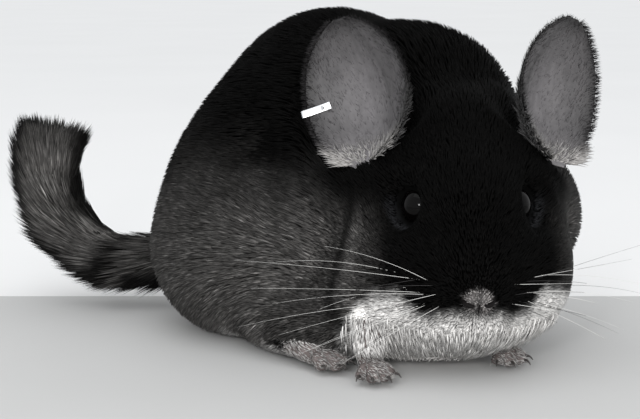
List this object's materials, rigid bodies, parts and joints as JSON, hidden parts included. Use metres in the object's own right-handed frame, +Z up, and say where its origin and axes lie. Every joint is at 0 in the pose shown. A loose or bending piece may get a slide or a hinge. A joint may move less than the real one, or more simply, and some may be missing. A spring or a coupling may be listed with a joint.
{
  "type": "chinchilla figure",
  "caption": "Life-size crouching chinchilla with its head turned, large cupped ears, a curled brush tail and a metal ear tag, as a still display model.",
  "frame": {"origin": "on the floor, under the middle of the bounding box", "axes": "+Z up, -Y the way the body faces, +X the animal's left; the head is turned about 37 degrees to its right"},
  "size_m": [0.1762, 0.2472, 0.1368],
  "materials": {
    "dark_coat": "soft velvety fur, deep black on the back, nape and face",
    "grey_coat": "soft dense fur, dark grey ticked with pale tips",
    "foot_skin": "short pale hair over grey-pink skin, dark claws",
    "ear_skin": "thin matte skin with very short grey hair",
    "eye": "wet glossy black",
    "tag_metal": "bare bright metal"
  },
  "bodies": {
    "root": {"head": "dark_coat", "neck": "dark_coat", "torso": "dark_coat", "thigh_right": "grey_coat", "thigh_left": "grey_coat", "fore_leg_right": "foot_skin", "fore_leg_left": "foot_skin", "hind_foot_right": "foot_skin", "hind_foot_left": "foot_skin", "ear_right": "ear_skin", "ear_left": "ear_skin", "eye_right": "eye", "eye_left": "eye", "ear_tag": "tag_metal", "tail_base": "grey_coat", "tail_middle": "grey_coat", "tail_end": "grey_coat"}
  },
  "joints": []
}
